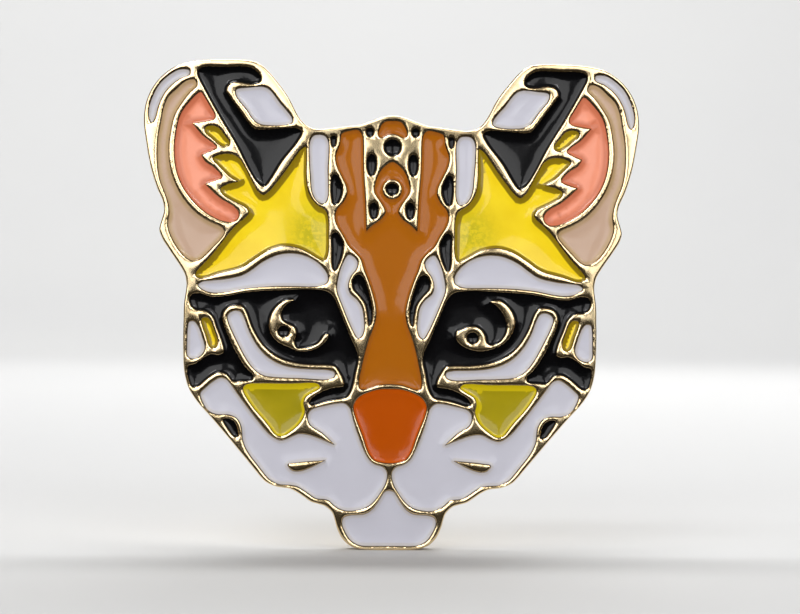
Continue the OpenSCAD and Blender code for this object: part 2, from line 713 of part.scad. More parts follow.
// Wing a is the one at +X of its post and wing b is its mirror image
module wing(side, facing) {
    path = smooth_path(concat(WING_JAW, WING_FINGER));
    at_clutch(side)
        mirror([facing < 0 ? 1 : 0, 0, 0])
            difference() {
                intersection() {
                    linear_extrude(height = wing_w + 1, center = true)
                        polygon(sheet_outline(path, sheet_t));
                    rotate([90, 0, 90])
                        linear_extrude(height = 8)
                            wing_face();
                }
                behind()
                    cylinder(h = pivot_y, r = post_r + jaw_clearance, $fn = 48);
            }
}

module clutch_wing_a(side) {
    wing(side, RIGHT);
}

module clutch_wing_b(side) {
    wing(side, LEFT);
}

badge_plate();
ear_rim_white(LEFT);  // ear_rim_white_left
ear_rim_white(RIGHT);  // ear_rim_white_right
ear_band_tan(LEFT);  // ear_band_tan_left
ear_band_tan(RIGHT);  // ear_band_tan_right
ear_inner_coral(LEFT);  // ear_inner_coral_left
ear_inner_coral(RIGHT);  // ear_inner_coral_right
ear_fleck_yellow(LEFT);  // ear_fleck_yellow_left
ear_fleck_yellow(RIGHT);  // ear_fleck_yellow_right
ear_stripe_black(LEFT);  // ear_stripe_black_left
ear_stripe_black(RIGHT);  // ear_stripe_black_right
ear_window_white(LEFT);  // ear_window_white_left
ear_window_white(RIGHT);  // ear_window_white_right
forehead_yellow(LEFT);  // forehead_yellow_left
forehead_yellow(RIGHT);  // forehead_yellow_right
forehead_bar_white(LEFT);  // forehead_bar_white_left
forehead_bar_white(RIGHT);  // forehead_bar_white_right
forehead_edge_black(LEFT);  // forehead_edge_black_left
forehead_edge_black(RIGHT);  // forehead_edge_black_right
forehead_stripes_brown();
forehead_crown_brown();
crown_spots_black();
brow_white(LEFT);  // brow_white_left
brow_white(RIGHT);  // brow_white_right
eye_patch_black(LEFT);  // eye_patch_black_left
eye_patch_black(RIGHT);  // eye_patch_black_right
eye_dot_black(LEFT);  // eye_dot_black_left
eye_dot_black(RIGHT);  // eye_dot_black_right
under_eye_white(LEFT);  // under_eye_white_left
under_eye_white(RIGHT);  // under_eye_white_right
temple_white(LEFT);  // temple_white_left
temple_white(RIGHT);  // temple_white_right
temple_bar_yellow(LEFT);  // temple_bar_yellow_left
temple_bar_yellow(RIGHT);  // temple_bar_yellow_right
cheek_yellow(LEFT);  // cheek_yellow_left
cheek_yellow(RIGHT);  // cheek_yellow_right
muzzle_white(LEFT);  // muzzle_white_left
muzzle_white(RIGHT);  // muzzle_white_right
jaw_spot_black(LEFT);  // jaw_spot_black_left
jaw_spot_black(RIGHT);  // jaw_spot_black_right
nose_side_white(LEFT);  // nose_side_white_left
nose_side_white(RIGHT);  // nose_side_white_right
nose_side_black(LEFT);  // nose_side_black_left
nose_side_black(RIGHT);  // nose_side_black_right
nose_orange();
chin_white();
post(LEFT);  // post_left
post(RIGHT);  // post_right
clutch_disc(LEFT);  // clutch_disc_left
clutch_disc(RIGHT);  // clutch_disc_right
clutch_housing(LEFT);  // clutch_housing_left
clutch_housing(RIGHT);  // clutch_housing_right
clutch_spring(LEFT);  // clutch_spring_left
clutch_spring(RIGHT);  // clutch_spring_right
clutch_wing_a(LEFT);  // clutch_wing_a_left
clutch_wing_a(RIGHT);  // clutch_wing_a_right
clutch_wing_b(LEFT);  // clutch_wing_b_left
clutch_wing_b(RIGHT);  // clutch_wing_b_right
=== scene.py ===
"""An enamel lapel pin: a spotted cat's face struck in metal, gold plated and filled with soft enamel, with two
posts on its back and a butterfly clutch on each. Millimetres become metres in forge(), which makes every mesh."""
import json
import math

import bpy
import numpy as np
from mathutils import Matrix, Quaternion, Vector
from mathutils.geometry import delaunay_2d_cdt


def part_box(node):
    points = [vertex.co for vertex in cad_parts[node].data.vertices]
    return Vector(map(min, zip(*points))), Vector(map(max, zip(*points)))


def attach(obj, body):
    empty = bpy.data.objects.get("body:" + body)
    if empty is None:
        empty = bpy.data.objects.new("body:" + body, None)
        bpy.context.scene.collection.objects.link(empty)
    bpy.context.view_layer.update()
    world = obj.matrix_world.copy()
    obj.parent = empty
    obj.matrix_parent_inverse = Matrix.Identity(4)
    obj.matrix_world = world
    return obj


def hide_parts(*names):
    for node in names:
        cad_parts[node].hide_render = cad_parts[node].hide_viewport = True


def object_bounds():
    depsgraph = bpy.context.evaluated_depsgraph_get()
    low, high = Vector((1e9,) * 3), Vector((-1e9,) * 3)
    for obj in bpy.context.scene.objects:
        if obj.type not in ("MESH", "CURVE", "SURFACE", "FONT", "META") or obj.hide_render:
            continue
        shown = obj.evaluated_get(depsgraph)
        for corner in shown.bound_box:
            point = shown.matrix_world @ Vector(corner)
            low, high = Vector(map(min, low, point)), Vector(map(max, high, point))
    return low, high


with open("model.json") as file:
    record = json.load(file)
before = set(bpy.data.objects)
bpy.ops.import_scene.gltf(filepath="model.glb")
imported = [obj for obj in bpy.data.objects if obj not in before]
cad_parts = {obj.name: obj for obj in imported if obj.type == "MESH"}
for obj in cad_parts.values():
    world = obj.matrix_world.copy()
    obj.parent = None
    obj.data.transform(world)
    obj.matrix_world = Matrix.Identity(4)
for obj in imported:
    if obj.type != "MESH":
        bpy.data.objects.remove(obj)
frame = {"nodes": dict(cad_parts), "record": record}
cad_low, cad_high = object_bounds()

# ---- Camera ----
# A long lens a hand's width in front of the pin, a little to the left of it and turned very slightly, with the
# pin standing just left of the middle of the frame.
plate_low, plate_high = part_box("badge_plate")
lens_distance = 0.15
lens_swing = math.radians(2.6)
lens_roll = math.radians(0.56)
frame_width = 0.0613
aim_right, aim_down = 0.00068, 0.00006
aim = Vector(((plate_low.x + plate_high.x) / 2 + aim_right, plate_low.y,
              (plate_low.z + plate_high.z) / 2 - aim_down))
towards_lens = Vector((-math.sin(lens_swing), -math.cos(lens_swing), 0))
camera = bpy.data.objects.new("camera", bpy.data.cameras.new("camera"))
camera.data.lens = camera.data.sensor_width * lens_distance / frame_width
camera.data.clip_start = 0.005
camera.data.clip_end = 20
camera.location = aim + towards_lens * lens_distance
camera.rotation_mode = "QUATERNION"
camera.rotation_quaternion = (-towards_lens).to_track_quat("-Z", "Y") @ Quaternion((0, 0, 1), lens_roll)
bpy.context.scene.collection.objects.link(camera)
bpy.context.scene.camera = camera


# ---- Struck plate ----
# One piece of zinc alloy struck in a die, so that thin walls stand up round every cell of colour, then polished
# and plated in pale gold. The tops of the walls are level, and their shoulders are rounded by the polishing.
PLATE_TOP = -plate_low.y * 1000  # the wall tops, in mm in front of the back
SHOULDER = 0.13  # the shoulder's width
SHOULDER_DROP = 0.09  # how far it falls to the cell's wall
STEP = 0.085  # between the points of a cell's outline
PAIRS_AT_ONCE = 2000000  # of a point and an outline's point, to spare memory


def rings_of(node):
    """Closed rings of (x, z) points, in mm, round the front face of a node, with the face on their left.
    They are the edges that only one of the foremost triangles has. A ring's first point is the lowest-numbered
    one that its points lead to, and a point's place on it is the number of steps left to get there."""
    data = frame["nodes"][node].data
    place = np.empty(3 * len(data.vertices))
    data.vertices.foreach_get("co", place)
    corner = np.empty(len(data.loops), np.int32)
    data.loops.foreach_get("vertex_index", corner)
    place = place.reshape(-1, 3) * 1000
    spot = np.round(place * 1e4).astype(np.int64)
    _, first, same = np.unique(spot, axis=0, return_index=True, return_inverse=True)
    place = place[first]
    triangle = same.ravel()[corner].reshape(-1, 3)
    triangle = triangle[(place[triangle][:, :, 1] < place[:, 1].min() + 0.001).all(1)]
    start, end = triangle.ravel(), np.roll(triangle, -1, axis=1).ravel()
    alone = ~np.isin(start * len(place) + end, end * len(place) + start)
    start, end = start[alone], end[alone]
    order = np.argsort(start)
    start, end = start[order], end[order]
    own = np.arange(len(start))
    follows = np.searchsorted(start, end)
    doublings = int(len(start)).bit_length()
    ring, leap = own.copy(), follows.copy()
    for _ in range(doublings):
        ring = np.minimum(ring, ring[leap])
        leap = leap[leap]
    steps = np.where(ring == own, 0, 1)
    leap = np.where(ring == own, own, follows)
    for _ in range(doublings):
        steps = steps + steps[leap]
        leap = leap[leap]
    order = np.lexsort((-steps, ring))
    cuts = np.flatnonzero(np.diff(ring[order])) + 1
    return [place[start[one]][:, [0, 2]] for one in np.split(order, cuts)]


def smoothed(ring, step=STEP):
    """Evenly spaced points on a smooth closed curve through a ring. Each span is a cubic, whose direction at a
    point is the mean of the two spans that meet there, the shorter one counting for more. Where they turn by over
    35 degrees the point is a corner, and each span keeps its own direction."""
    after = np.roll(ring, -1, 0) - ring
    size = np.linalg.norm(after, axis=1)[:, None]
    after = after / size
    before, size_before = np.roll(after, 1, 0), np.roll(size, 1, 0)
    mean = (before * size + after * size_before) / (size + size_before)
    corner = (before * after).sum(1)[:, None] < math.cos(math.radians(35))
    leaving, arriving = np.where(corner, after, mean), np.where(corner, before, mean)
    s = np.linspace(0, 1, 12, endpoint=False)[None, :, None]
    curve = (
        (2 * s**3 - 3 * s**2 + 1) * ring[:, None]
        + (s**3 - 2 * s**2 + s) * (leaving * size)[:, None]
        + (3 * s**2 - 2 * s**3) * np.roll(ring, -1, 0)[:, None]
        + (s**3 - s**2) * (np.roll(arriving, -1, 0) * size)[:, None]
    ).reshape(-1, 2)
    closed = np.vstack([curve, curve[:1]])
    along = np.concatenate([[0], np.cumsum(np.linalg.norm(np.diff(closed, axis=0), axis=1))])
    even = np.linspace(0, along[-1], max(14, round(along[-1] / step)), endpoint=False)
    return np.stack([np.interp(even, along, closed[:, axis]) for axis in (0, 1)], 1)


def left_of(ring):
    """The unit direction to the left of a ring at each of its points: its direction there, turned by 90 degrees."""
    along = np.roll(ring, -1, 0) - np.roll(ring, 1, 0)
    along /= np.linalg.norm(along, axis=1)[:, None]
    return np.stack([-along[:, 1], along[:, 0]], 1)


def reach(points, rings, limit):
    """For each point, its distance to the nearest ring and no more than limit, the direction from the ring to it,
    and whether it is inside: a line from it along +X then crosses the rings an odd number of times."""
    nearest = np.full(len(points), float(limit))
    direction = np.zeros((len(points), 2))
    inside = np.zeros(len(points), bool)
    for ring in rings:
        low, high = ring.min(0) - limit, ring.max(0) + limit
        close = np.flatnonzero(((points > low) & (points < high)).all(1))
        span = np.roll(ring, -1, 0) - ring
        for some in np.array_split(close, 1 + len(close) * len(ring) // PAIRS_AT_ONCE):
            away = points[some, None] - ring
            above = away[:, :, 1] > 0
            crossed = above != (np.roll(away[:, :, 1], -1, 1) > 0)
            cross_x = away[:, :, 1] * span[:, 0] / np.where(span[:, 1] == 0, 1, span[:, 1])
            inside[some] ^= (crossed & (away[:, :, 0] < cross_x)).sum(1) % 2 == 1
            share = np.clip((away * span).sum(2) / (span**2).sum(1), 0, 1)
            away -= share[:, :, None] * span
            best = (away**2).sum(2).argmin(1)
            away = away[np.arange(len(some)), best]
            gap = np.linalg.norm(away, axis=1)
            nearer = gap < nearest[some]
            nearest[some[nearer]] = gap[nearer]
            direction[some[nearer]] = away[nearer] / np.maximum(gap[nearer], 1e-9)[:, None]
    return nearest, direction, inside


def net(rings, rows=(), mesh_size=None):
    """Points and triangles that fill the area on the left of the rings. Each row is (distance, take every nth):
    points that far in from the rings. Further in the points are on a triangular lattice of mesh_size. A Delaunay
    net joins them, in which the rings stay whole. A triangle on a ring is wanted if it turns the same way as the
    ring, and one that only touches rings is tested by its middle."""
    fixed = np.concatenate(rings)
    loose, wanted = [np.empty((0, 2))], [np.empty(0)]
    for inset, nth in rows:
        for ring in rings:
            row = (ring + left_of(ring) * inset)[::nth]
            loose.append(row)
            wanted.append(np.full(len(row), 0.75 * inset))
    if mesh_size:
        low, high = fixed.min(0), fixed.max(0)
        x, z = np.meshgrid(
            np.arange(low[0], high[0], mesh_size), np.arange(low[1], high[1], mesh_size * math.sqrt(0.75))
        )
        x[1::2] += mesh_size / 2
        lattice = np.stack([x.ravel(), z.ravel()], 1)
        loose.append(lattice)
        wanted.append(np.full(len(lattice), rows[-1][0] + mesh_size / 2))
    loose, wanted = np.concatenate(loose), np.concatenate(wanted)
    far = max((inset for inset, _ in rows), default=0) + (mesh_size or 0)
    gap, _, inside = reach(loose, rings, far)
    points = np.concatenate([fixed, loose[inside & (gap > wanted)]])
    first = np.cumsum([0] + [len(ring) for ring in rings])
    follower = np.concatenate([np.roll(np.arange(len(r)), -1) + f for r, f in zip(rings, first)])
    edges = np.stack([np.arange(len(fixed)), follower], 1)
    corners, _, triangles, _, _, _ = delaunay_2d_cdt(points.tolist(), edges.tolist(), [], 0, 1e-6, False)
    corners, triangles = np.array(corners), np.array(triangles)
    corners[: len(points)] = points
    follower = np.concatenate([follower, np.full(len(corners) - len(fixed), -1)])
    beyond = np.roll(triangles, -1, 1)
    with_ring, against_ring = (follower[triangles] == beyond).any(1), (follower[beyond] == triangles).any(1)
    unsure = (triangles < len(fixed)).all(1) & ~with_ring & ~against_ring
    keep = with_ring | ~against_ring
    keep[unsure] = reach(corners[triangles[unsure]].mean(1), rings, 0.001)[2]
    return corners, triangles[keep]


def at_depth(points, y):
    """The (x, z) points as (x, y, z) points, y in front of or behind the plate's back."""
    return np.stack([points[:, 0], np.broadcast_to(y, len(points)), points[:, 1]], 1)


def skin(rows, closed=True):
    """Points and four-sided faces of a grid whose rows are rings (closed) or paths, joined one to the next."""
    rows = np.asarray(rows, float)
    count, size = rows.shape[:2]
    number = np.arange(count * size).reshape(count, size)
    here, there = (number, np.roll(number, -1, 1)) if closed else (number[:, :-1], number[:, 1:])
    faces = np.stack([here[:-1], there[:-1], there[1:], here[1:]], 2)
    return rows.reshape(-1, 3), faces.reshape(-1, 4)


def forge(name, parts, finish, marks=None, crease=35):
    """A mesh from (points, faces) parts in mm. Points that fall together to a twenty-thousandth of a millimetre
    become one, faces that this leaves with no area are dropped, and a closed mesh that came out inside out is
    turned. Each mark is a value per point."""
    points = np.concatenate([p for p, _ in parts])
    spot = np.round(points * 2e4).astype(np.int64)
    _, first, same = np.unique(spot, axis=0, return_index=True, return_inverse=True)
    same = same.ravel()
    base = np.cumsum([0] + [len(p) for p, _ in parts])
    faces = []
    for (_, part), shift in zip(parts, base):
        part = same[np.asarray(part) + shift]
        if part.shape[1] == 4:
            folded = part == np.roll(part, -1, 1)
            faces += part[~folded.any(1)].tolist()
            thin = folded.sum(1) == 1
            faces += [np.roll(f, -i)[1:].tolist() for f, i in zip(part[thin], folded[thin].argmax(1))]
        else:
            faces += part[(part != np.roll(part, -1, 1)).all(1)].tolist()
    place = points[first]
    fans = np.concatenate([np.array([f for f in faces if len(f) == n], int).reshape(-1, n)[:, [0, i, i + 1]]
                           for n in (3, 4) for i in range(1, n - 1)])
    a, b, c = (place[fans[:, i]] for i in (0, 1, 2))
    if (a * np.cross(b, c)).sum() < 0:
        faces = [f[::-1] for f in faces]
    data = bpy.data.meshes.new(name)
    data.from_pydata((place / 1000).tolist(), [], faces)
    data.shade_smooth()
    data.set_sharp_from_angle(angle=math.radians(crease))
    for mark, values in (marks or {}).items():
        data.attributes.new(mark, "FLOAT", "POINT").data.foreach_set("value", values[first].astype(np.float32))
    data.materials.append(finish)
    made = bpy.data.objects.new(name, data)
    bpy.context.scene.collection.objects.link(made)
    return made


def colour(red, green, blue):
    """A colour in the numbers of a paint chart, 0 to 255, as the linear values that a shader takes."""
    chart = np.array([red, green, blue]) / 255
    return (*np.where(chart <= 0.04045, chart / 12.92, ((chart + 0.055) / 1.055) ** 2.4), 1)


def shader(name, **settings):
    """A new material, its node tree and its Principled node, with the given sockets set."""
    made = bpy.data.materials.new(name)
    made.use_nodes = True
    principled = made.node_tree.nodes["Principled BSDF"]
    for socket, value in settings.items():
        principled.inputs[socket.replace("_", " ")].default_value = value
    return made, made.node_tree, principled


def add(tree, kind, links=None, **settings):
    """A new node. Settings are its own, links go from its sockets to another node's output or hold a value."""
    made = tree.nodes.new("ShaderNode" + kind)
    for setting, value in settings.items():
        setattr(made, setting, value)
    for socket, value in (links or {}).items():
        if isinstance(value, bpy.types.NodeSocket):
            tree.links.new(value, made.inputs[socket])
        else:
            made.inputs[socket].default_value = value
    return made


def grain(tree, size_mm, detail=3.0, rough=0.55):
    """A noise on Object coordinates with features of that size."""
    where = add(tree, "TexCoord").outputs["Object"]
    return add(tree, "TexNoise", {"Vector": where, "Scale": 1000 / size_mm, "Detail": detail, "Roughness": rough})


def ramp(tree, value, stops):
    """A colour ramp of (place, colour) stops."""
    made = add(tree, "ValToRGB", {0: value})
    band = made.color_ramp
    while len(band.elements) < len(stops):
        band.elements.new(0.5)
    for element, (place, tint) in zip(band.elements, stops):
        element.position = place
        element.color = tint
    return made.outputs["Color"]


def blended(tree, share, one, two):
    """One colour turning into the other as share goes from 0 to 1."""
    return add(tree, "Mix", {0: share, 6: one, 7: two}, data_type="RGBA").outputs[2]


def bump(tree, height, depth_mm):
    """The normal of a surface with that height pattern, depth_mm from its lowest to its highest."""
    return add(tree, "Bump", {"Height": height, "Strength": 1.0, "Distance": depth_mm / 1000}).outputs["Normal"]


def gold(name, light, dark, roughness, grit_mm, grit_depth):
    """Plated metal: pale gold that is a little uneven in tone and polish, with painted shade darkening it at the foot
    of its walls.
    """
    made, tree, principled = shader(name, Metallic=1.0, Specular_IOR_Level=0.5)
    cloud = grain(tree, 2.5, 4).outputs["Fac"]
    tone = ramp(tree, cloud, [(0.3, dark), (0.7, light)])
    foot = add(tree, "Attribute", attribute_name="foot").outputs["Fac"]
    # Painted shade: where the mark foot is high, at the foot of the walls, the gold turns dark brown.
    tree.links.new(blended(tree, foot, tone, colour(120, 92, 48)), principled.inputs["Base Color"])
    grit = grain(tree, grit_mm, 2, 0.6).outputs["Fac"]
    polish = add(tree, "MapRange", {"Value": cloud, "To Min": roughness - 0.05, "To Max": roughness + 0.05})
    tree.links.new(polish.outputs[0], principled.inputs["Roughness"])
    tree.links.new(bump(tree, grit, grit_depth), principled.inputs["Normal"])
    return made


plate_gold = gold("pale_gold_plate", colour(247, 224, 180), colour(240, 212, 162), 0.15, 0.12, 0.0003)
slot_of = {row["node"]: row["material_slot"] for row in frame["record"]["subparts"]}
enamel_nodes = [node for node, slot in slot_of.items() if slot.endswith("_enamel")]
cells = {node: [smoothed(ring) for ring in rings_of(node)] for node in enamel_nodes}
cell_rings = [ring for rings in cells.values() for ring in rings]
cell_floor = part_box(enamel_nodes[0])[1].y * 1000
edge_step = 0.1
edge = smoothed(max(rings_of("badge_plate"), key=lambda ring: np.ptp(ring[:, 0])), edge_step)

# The rim's profile, from the middle of the back round to the front: (distance in from the edge, y)
rim_round, back_round = 0.16, 0.12
arc = np.linspace(0, math.pi / 2, 6)
rim = np.concatenate([
    np.stack([back_round * (1 - np.sin(arc)), -back_round * (1 - np.cos(arc))], 1),
    np.stack([rim_round * (1 - np.cos(arc)), -PLATE_TOP + rim_round * (1 - np.sin(arc))], 1),
])
rim_rows = [at_depth(edge + left_of(edge) * inset, y) for inset, y in rim]
front_edge = rim_rows[-1][:, [0, 2]]
back_edge = rim_rows[0][:, [0, 2]]
shoulder_rows = ((0.035, 1), (0.075, 1), (SHOULDER, 2), (0.22, 3))
top, top_faces = net([front_edge] + [ring[::-1] for ring in cell_rings], shoulder_rows, mesh_size=0.4)
gap, _, _ = reach(top, cell_rings, 0.5)
height = PLATE_TOP - SHOULDER_DROP * (1 - np.minimum(gap / SHOULDER, 1)) ** 2

# Polishing softens the heights near the cells: each becomes the mean of itself and its neighbours' mean, three times.
polished_within = 0.3
links = np.concatenate([top_faces[:, [0, 1]], top_faces[:, [1, 2]], top_faces[:, [2, 0]]])
links = np.concatenate([links, links[:, ::-1]])
neighbours = np.bincount(links[:, 0], minlength=len(top))
loose = gap > 1e-4
for _ in range(3):
    mean = np.bincount(links[:, 0], height[links[:, 1]], len(top)) / neighbours
    height = np.where(loose & (gap < polished_within), (height + mean) / 2, height)
rim_rows[-1][:, 1] = -height[: len(edge)]
floors = {node: net(rings) for node, rings in cells.items()}
back, back_faces = net([back_edge], ((0.3, 3),), mesh_size=1.2)
plate_parts = [(at_depth(top, -height), top_faces), skin(rim_rows), (at_depth(back, 0), back_faces[:, ::-1])]
shade_line_fade = 0.03  # the mark foot, a painted shade line at the foot of the walls, fades from a cell's edge over this distance, and is 1 on its walls and floor
plate_shade_marks = [np.exp(-gap / shade_line_fade), np.zeros(rim_rows[0].shape[0] * len(rim_rows)), np.zeros(len(back))]
for node, rings in cells.items():
    for ring in rings:
        plate_parts.append(skin([at_depth(ring, SHOULDER_DROP - PLATE_TOP), at_depth(ring, cell_floor)]))
        plate_shade_marks.append(np.ones(2 * len(ring)))
    plate_parts.append((at_depth(floors[node][0], cell_floor), floors[node][1]))
    plate_shade_marks.append(np.ones(len(floors[node][0])))
plate = forge("struck_plate", plate_parts, plate_gold, {"foot": np.concatenate(plate_shade_marks)})
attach(plate, "badge")
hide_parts("badge_plate")


# ---- Enamel ----
# Soft enamel, a thick coloured lacquer run into each cell by needle and baked. It shrinks as it sets, so every
# pool is dished: it clings to the walls just under their shoulders and lies lowest in its middle.
CLING = 0.1  # how far below the wall tops it clings
DISH = 0.3  # how far below them it lies in the middle
DISH_REACH = 0.28  # how far from the wall it has fallen most of the way
POOL_ROWS = ((0.04, 1), (0.09, 1), (0.16, 2), (0.25, 2), (0.38, 4))
LIGHT = np.array([-0.45, 0.89])  # the way to the light, across the face
BROW = np.array([6.2, 5.4])  # the middle of the clear enamel's greener, stippled patch, either side of the face
BROW_REACH = np.array([1.7, 2.1])


def pool(node, finish):
    """A pool of set enamel. Its depth below the wall tops goes from CLING at the wall to DISH far from it, by an
    exponential of the distance. The mark wall is that distance, lean is how far the wall nearby looks away from
    the light, which sets the width of the clear enamel's painted band of light and shade, and thick is high in a
    patch beside the brow."""
    rings = cells[node]
    points, faces = net(rings, POOL_ROWS, mesh_size=0.42)
    gap, direction, _ = reach(points, rings, 2.0)
    on_wall = gap < 1e-4
    direction[on_wall] = np.concatenate([left_of(ring) for ring in rings])[: on_wall.sum()]
    depth = DISH + (CLING - DISH) * np.exp(-gap / DISH_REACH)
    parts = [(at_depth(points, depth - PLATE_TOP), faces)]
    for ring in rings:
        parts.append(skin([at_depth(ring, cell_floor), at_depth(ring, CLING - PLATE_TOP)]))
    floor, floor_faces = floors[node]
    parts.append((at_depth(floor, cell_floor), floor_faces[:, ::-1]))
    rest = sum(len(p) for p, _ in parts[1:])
    brow_x, brow_z = ((np.stack([abs(points[:, 0]), points[:, 1]], 1) - BROW) / BROW_REACH).T
    brow_side = np.exp(-(brow_x**2) - brow_z**2)
    marks = {
        "wall": np.concatenate([gap, np.zeros(rest)]),
        "lean": np.concatenate([-(direction @ LIGHT), np.zeros(rest)]),
        "thick": np.concatenate([brow_side, np.zeros(rest)]),
    }
    made = forge(node + "_pool", parts, finish, marks)
    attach(made, "badge")
    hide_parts(node)


def enamel(name, middle, rim_tint, line_tint, spread=0.35, cloud_tint=None):
    """Opaque enamel: a thin dark line of shadowed colour right at the wall, a rim tint that gives way to the middle
    tone at spread mm from the wall, faint clouds of another tint, and a smooth glossy skin."""
    made, tree, principled = shader(
        name, Roughness=0.16, Coat_Weight=0.45, Coat_Roughness=0.05, Coat_IOR=1.42, Specular_IOR_Level=0.15
    )
    wall = add(tree, "Attribute", attribute_name="wall").outputs["Fac"]
    tone = ramp(tree, wall, [(0.0, line_tint), (0.05, rim_tint), (spread * 0.5, rim_tint), (spread, middle)])
    cloud = grain(tree, 1.8, 4).outputs["Fac"]
    amount = add(tree, "MapRange", {"Value": cloud, "From Min": 0.35, "From Max": 0.75, "To Max": 0.35})
    tree.links.new(blended(tree, amount.outputs[0], tone, cloud_tint or rim_tint), principled.inputs["Base Color"])
    ripple = grain(tree, 1.1, 2).outputs["Fac"]
    for socket in ("Normal", "Coat Normal"):
        tree.links.new(bump(tree, ripple, 0.004), principled.inputs[socket])
    return made


white = enamel("white_enamel", colour(194, 193, 203), colour(192, 186, 184), colour(104, 92, 74), 0.3,
               colour(189, 188, 198))
tan = enamel("tan_enamel", colour(190, 160, 138), colour(180, 150, 108), colour(112, 88, 50), 0.4,
             colour(196, 168, 148))
coral = enamel("coral_enamel", colour(238, 152, 122), colour(200, 112, 80), colour(150, 66, 34), 0.6,
               colour(226, 138, 106))
brown = enamel("brown_enamel", colour(164, 92, 8), colour(160, 90, 22), colour(88, 46, 8), 0.35,
               colour(168, 98, 16))
# The orange's rim tint, brighter than its middle, is a painted highlight: light that the meniscus gathers beside the
# wall.
orange = enamel("orange_enamel", colour(176, 74, 0), colour(190, 80, 2), colour(120, 48, 2), 0.4,
                colour(180, 78, 4))
black = enamel("black_enamel", colour(6, 6, 8), colour(5, 5, 6), colour(2, 2, 3))


def clear_enamel(name, middle, band, corner, glint):
    """Tinted clear enamel over the bare plated floor of the cell: bright where the floor shows through, with a band
    of painted light and shade along the walls, wider under the ones that stand between it and the light: a painted
    shadow in the yellow and a painted highlight in the olive. Towards the brow it is greener, and the stipple of the
    floor shows through."""
    made, tree, principled = shader(
        name, Roughness=0.3, Coat_Weight=0.7, Coat_Roughness=0.04, Coat_IOR=1.42, Specular_IOR_Level=0.15
    )
    wall = add(tree, "Attribute", attribute_name="wall").outputs["Fac"]
    lean = add(tree, "Attribute", attribute_name="lean").outputs["Fac"]
    thick = add(tree, "Attribute", attribute_name="thick").outputs["Fac"]
    # Painted light and shade: a band along the walls, wider where the wall nearby stands between it and the light; a
    # painted shadow in the yellow, a painted highlight in the olive.
    shaded = add(tree, "MapRange", {"Value": lean, "From Min": -0.2, "From Max": 0.6, "To Max": 0.26}).outputs[0]
    inset = add(tree, "Math", {0: wall, 1: shaded}, operation="SUBTRACT").outputs[0]
    in_painted_band = add(tree, "MapRange", {"Value": inset, "From Min": 0.15, "From Max": 0.24, "To Min": 1.0, "To Max": 0.0},
                  interpolation_type="SMOOTHSTEP").outputs[0]
    speck = grain(tree, 0.3, 2).outputs["Fac"]
    cloud = grain(tree, 3.0, 3).outputs["Fac"]
    tone = ramp(tree, cloud, [(0.35, middle), (0.7, glint)])
    stipple = add(tree, "MapRange", {"Value": speck, "From Min": 0.45, "From Max": 0.6}).outputs[0]
    patch = add(tree, "Math", {0: thick, 1: 0.75}, operation="MULTIPLY").outputs[0]
    tone = blended(tree, patch, tone, corner)
    dots = add(tree, "Math", {0: stipple, 1: thick}, operation="MULTIPLY").outputs[0]
    dots = add(tree, "Math", {0: dots, 1: 0.5}, operation="MULTIPLY").outputs[0]
    tone = blended(tree, dots, tone, glint)
    tree.links.new(blended(tree, in_painted_band, tone, band), principled.inputs["Base Color"])
    raised = add(tree, "Math", {0: speck, 1: thick}, operation="MULTIPLY").outputs[0]
    tree.links.new(bump(tree, raised, 0.03), principled.inputs["Normal"])
    return made


# The yellow's band is a painted shadow, darker than its middle. The olive's band is a painted highlight, brighter than
# its middle, where its meniscus gathers light.
yellow = clear_enamel("clear_yellow_enamel", colour(236, 202, 6), colour(140, 116, 2), colour(166, 160, 16),
                      colour(244, 214, 24))
olive = clear_enamel("clear_olive_enamel", colour(150, 136, 0), colour(200, 178, 4), colour(140, 142, 8),
                     colour(166, 148, 2))
finishes = {
    "white_enamel": white, "tan_enamel": tan, "coral_enamel": coral, "yellow_enamel": yellow,
    "olive_enamel": olive, "brown_enamel": brown, "orange_enamel": orange, "black_enamel": black,
}
for node in enamel_nodes:
    pool(node, finishes[slot_of[node]])


# ---- Posts ----
# A nickel-plated steel needle soldered to the back by its flat foot, with a groove that the clutch's jaws grip,
# a second groove near the end, and a ground point.
post_metal = gold("post_nickel", colour(236, 232, 222), colour(214, 208, 196), 0.26, 0.2, 0.001)


def turned(profile, centre, steps=64):
    """A (radius, y) profile swept round the axis that runs along Y through centre, which is (x, z)."""
    angle = np.linspace(0, 2 * math.pi, steps, endpoint=False)
    radius, y = np.asarray(profile, float).T[:, :, None]
    return skin(np.stack([
        centre[0] + radius * np.cos(angle), np.broadcast_to(y, (len(y), steps)), centre[1] + radius * np.sin(angle)
    ], 2))


def middle_of(node):
    """The (x, z) middle of a CAD node's box, in mm."""
    low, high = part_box(node)
    return np.array([low.x + high.x, low.z + high.z]) * 500


